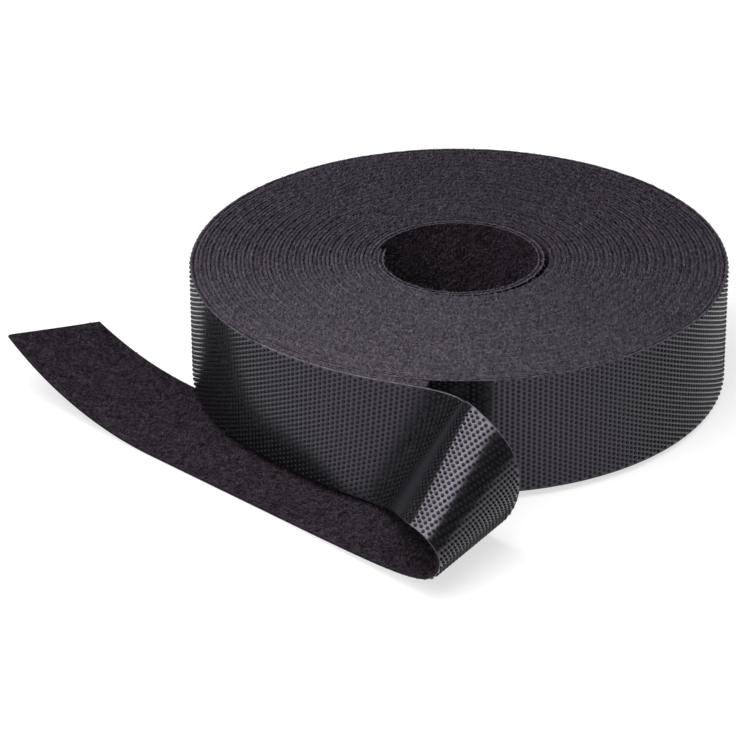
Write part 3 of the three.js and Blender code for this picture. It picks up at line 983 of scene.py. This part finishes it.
# Operators
class TAPEROLL_OT_studio(bpy.types.Operator):
    """Adds the floor, the flag, the lamps, the dark surroundings and the camera"""

    bl_idname = "tape_roll.studio"
    bl_label = "Add studio"

    def execute(self, context):
        studio = context.scene.tape_studio
        add_floor(studio)
        add_flag()
        softbox = (studio.softbox_side, studio.softbox_side)
        strip = (studio.strip_length, studio.strip_width)
        key = (studio.key_side, studio.key_side)
        add_lamp("softbox", softbox, studio.softbox_power, SOFTBOX_PLACE, (*SOFTBOX_PLACE[:2], 0))
        add_lamp("strip", strip, studio.strip_power, STRIP_PLACE, (*STRIP_PLACE[:2], 0), STRIP_TURN)
        add_lamp("key", key, studio.key_power, KEY_PLACE, KEY_AIM)
        add_surround(studio)
        lens = bpy.data.cameras.new("camera")
        lens.lens = studio.focal_length
        context.scene.camera = add_aimed("camera", lens, CAMERA_PLACE, CAMERA_AIM, CAMERA_ROLL)
        context.scene.view_settings.view_transform = "Standard"
        return {"FINISHED"}


class TAPEROLL_OT_film(bpy.types.Operator):
    """Lays the hook film: the winding, the curl with the tail, and the end, and its cut upper edge"""

    bl_idname = "tape_roll.film"
    bl_label = "Lay hook film"

    def execute(self, context):
        film = context.scene.tape_film
        fabric = context.scene.tape_fabric
        material = material_called("Hook film", film_material, film)
        layer = ((0, TAPE_WIDTH), (0, FILM_THICKNESS), film.column_step)
        wound = strip_piece(
            "wound_film", WHOLE_WINDING, (0, WOUND_FILM_TOP), *layer[1:], 1, material, "hook_film",
            ["wound_hook_tape"])
        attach(wound, "roll")
        curl = strip_piece(
            "curl_film", CURL_STRETCH, *layer, FREE_ROWS, material, "hook_film",
            ["curl_hook_tape", "tail_hook_tape"])
        fold(curl)
        end = strip_piece(
            "end_film", END_STRETCH, *layer, FREE_ROWS, material, "hook_film",
            ["free_end_hook_tape", "tip_hook_tape"])
        fold(end)
        nap = material_called("Edge nap", nap_material, fabric)
        cut = material_called("Highlit cut edge", highlit_cut_edge_material, fabric)
        edge = (CUT_EDGE_DEPTHS, film.column_step, 1)
        wound_edge = strip_piece(
            "wound_edge", WHOLE_WINDING, WOUND_EDGE_OVER, *edge, nap, "hook_film",
            ruffle=fabric.edge_ruffle / 2)
        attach(wound_edge, "roll")
        # The curl's cut edge is pale partly with a painted highlight
        curl_edge = strip_piece("curl_edge", CURL_ALONE, CUT_EDGE_OVER, *edge, cut, "hook_film")
        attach(curl_edge, "roll")
        return {"FINISHED"}


class TAPEROLL_OT_fabric(bpy.types.Operator):
    """Lays the knitted ground of the loop fabric behind the film"""

    bl_idname = "tape_roll.fabric"
    bl_label = "Lay loop fabric"

    def execute(self, context):
        fabric = context.scene.tape_fabric
        material = material_called("Knit ground", knit_material, fabric)
        depths = (-KNIT_THICKNESS, 0)
        wound = strip_piece(
            "wound_fabric", WHOLE_WINDING, (KNIT_FOOT, KNIT_TOP), depths, fabric.wound_step, 1, material,
            "loop_fabric", ["wound_loop_tape"], fabric.edge_ruffle)
        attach(wound, "roll")
        curl = strip_piece(
            "curl_fabric", CURL_STRETCH, (0, TAPE_WIDTH), depths, fabric.free_step, FREE_ROWS, material,
            "loop_fabric", ["curl_loop_tape", "tail_loop_tape"])
        fold(curl)
        end = strip_piece(
            "end_fabric", END_STRETCH, (0, TAPE_WIDTH), depths, fabric.free_step, FREE_ROWS, material,
            "loop_fabric", ["free_end_loop_tape", "tip_loop_tape"])
        fold(end)
        return {"FINISHED"}


class TAPEROLL_OT_hooks(bpy.types.Operator):
    """Sets out the moulded hooks on the film that shows: the outer turn, the curl, the tail and the end"""

    bl_idname = "tape_roll.hooks"
    bl_label = "Set out hooks"

    def execute(self, context):
        film = context.scene.tape_film
        pitch = film.hook_pitch_along
        outer = math.floor((WOUND_END - OUTER_TURN_START) / pitch)
        half = outer // 2
        for name, first, columns in (("back_hooks", -outer, outer - half), ("front_hooks", -half, half)):
            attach(hook_patch(name, film, first, columns), "roll")
        curl_columns = math.ceil((SEAM_REACH - WOUND_END) / pitch)
        fold(hook_patch("curl_hooks", film, 0, curl_columns, CURL_STRETCH[2]))
        first = math.floor((END_STRETCH[0] - WOUND_END) / pitch) - 1
        end_columns = math.floor((TAPE_END - WOUND_END) / pitch) - first
        fold(hook_patch("end_hooks", film, first, end_columns, END_STRETCH[2]))
        return {"FINISHED"}


class TAPEROLL_OT_pile(bpy.types.Operator):
    """Raises the pile where the fabric shows, and the nap and felt of its wound edges"""

    bl_idname = "tape_roll.pile"
    bl_label = "Raise pile"

    def execute(self, context):
        fabric = context.scene.tape_fabric
        pile = material_called("Pile", pile_material, fabric)
        nap = material_called("Edge nap", nap_material, fabric)
        on_roll = [pile_patch("bore_pile", fabric, (0, INNER_TURN_END, ()), BORE_SEED, pile)]
        tuft = (fabric.tuft, fabric.tuft_span, fabric.tuft_step)
        sparse = (fabric.tuft, fabric.tuft_span, fabric.tuft_step * LOWER_NAP_THINNING)
        fibre = (fabric.fibre, fabric.fibre_span, fabric.fibre_step)
        bands = (
            ("upper_nap", tuft, NAP_DEPTH, NAP_SPREAD, NAP_TURN, NAP_TILT, True),
            ("selvedge_nap", tuft, SELVEDGE_DEPTH, NAP_SPREAD, NAP_TURN, NAP_TILT, True),
            ("lower_nap", sparse, NAP_DEPTH, NAP_SPREAD, NAP_TURN, 0, False),
            ("upper_fuzz", fibre, FUZZ_DEPTH, FUZZ_SPREAD, ANY_TURN, 0, True))
        for seed, (name, *band) in enumerate(bands, NAP_SEED):
            on_roll.append(nap_band(name, seed, nap, *band))
        felts = (
            ("wound_felt", (INNER_TURN_END, WOUND_END, ()), KNIT_FOOT),
            ("curl_felt", (WOUND_END, WOUND_END + NAP_RUN_ON, ()), KNIT_TOP - FELT_RUN_ON_WIDTH))
        for name, stretch, foot in felts:
            on_roll.append(felt_band(name, stretch, foot, pile))
        for piece in on_roll:
            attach(piece, "roll")
        curl = pile_patch("curl_pile", fabric, CURL_STRETCH, CURL_SEED, pile)
        fold(curl)
        end = pile_patch("end_pile", fabric, END_STRETCH, END_SEED, pile)
        fold(end)
        return {"FINISHED"}


class TAPEROLL_PT_sidebar(bpy.types.Panel):
    """Sizes, colours and steps of the tape roll"""

    bl_idname = "TAPEROLL_PT_sidebar"
    bl_label = "Tape Roll"
    bl_space_type = "VIEW_3D"
    bl_region_type = "UI"
    bl_category = "Tape Roll"

    def draw(self, context):
        for settings in (context.scene.tape_film, context.scene.tape_fabric, context.scene.tape_studio):
            box = self.layout.box()
            for name in settings.__annotations__:
                box.prop(settings, name)
        for operator in OPERATORS:
            self.layout.operator(operator.bl_idname)


OPERATORS = (
    TAPEROLL_OT_studio,
    TAPEROLL_OT_film,
    TAPEROLL_OT_fabric,
    TAPEROLL_OT_hooks,
    TAPEROLL_OT_pile,
)
CLASSES = (FilmSettings, FabricSettings, StudioSettings, *OPERATORS, TAPEROLL_PT_sidebar)


def register():
    """Registers the classes and adds their settings to the scene."""
    for made in CLASSES:
        bpy.utils.register_class(made)
    bpy.types.Scene.tape_film = bpy.props.PointerProperty(type=FilmSettings)
    bpy.types.Scene.tape_fabric = bpy.props.PointerProperty(type=FabricSettings)
    bpy.types.Scene.tape_studio = bpy.props.PointerProperty(type=StudioSettings)


def unregister():
    """Removes the settings and the classes again."""
    del bpy.types.Scene.tape_film
    del bpy.types.Scene.tape_fabric
    del bpy.types.Scene.tape_studio
    for made in reversed(CLASSES):
        bpy.utils.unregister_class(made)


def main():
    """Builds the whole scene."""
    register()
    bpy.ops.tape_roll.studio()
    bpy.ops.tape_roll.film()
    bpy.ops.tape_roll.fabric()
    bpy.ops.tape_roll.hooks()
    bpy.ops.tape_roll.pile()


if __name__ == "__main__":
    main()
